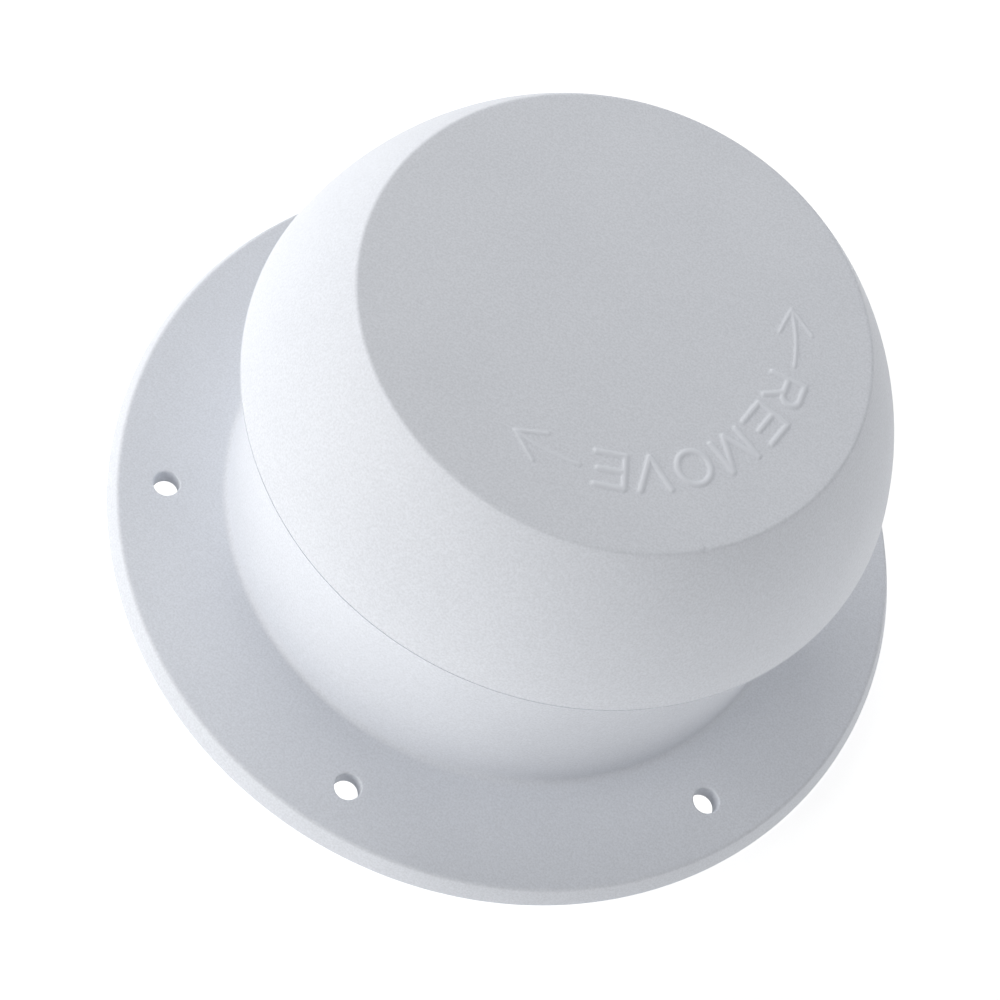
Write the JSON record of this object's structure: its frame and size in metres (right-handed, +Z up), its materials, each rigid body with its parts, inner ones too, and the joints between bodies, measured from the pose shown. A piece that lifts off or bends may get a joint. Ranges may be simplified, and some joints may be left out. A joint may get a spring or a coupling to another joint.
{
  "type": "plumbing vent",
  "caption": "Round white plastic roof vent for a plumbing pipe: screw flange with an upstanding collar, under a twist-off domed cap that leaves a ring-shaped outlet gap.",
  "frame": {"origin": "middle of the flange's flat underside", "axes": "+Z up along the vent's axis, from the roof to the cap; -Y towards the front screw hole"},
  "size_m": [0.178, 0.178, 0.087],
  "materials": {
    "base_plastic": "fine moulded grain",
    "cap_plastic": "fine moulded grain"
  },
  "bodies": {
    "base": {"vent_base": "base_plastic"},
    "cap": {"vent_cap": "cap_plastic"}
  },
  "joints": [
    {"name": "cap_turn", "type": "hinge", "parent": "base", "child": "cap", "pos_m": [0, 0, 0.059], "axis": [0, 0, 1], "range_deg": [-30, 30]}
  ]
}
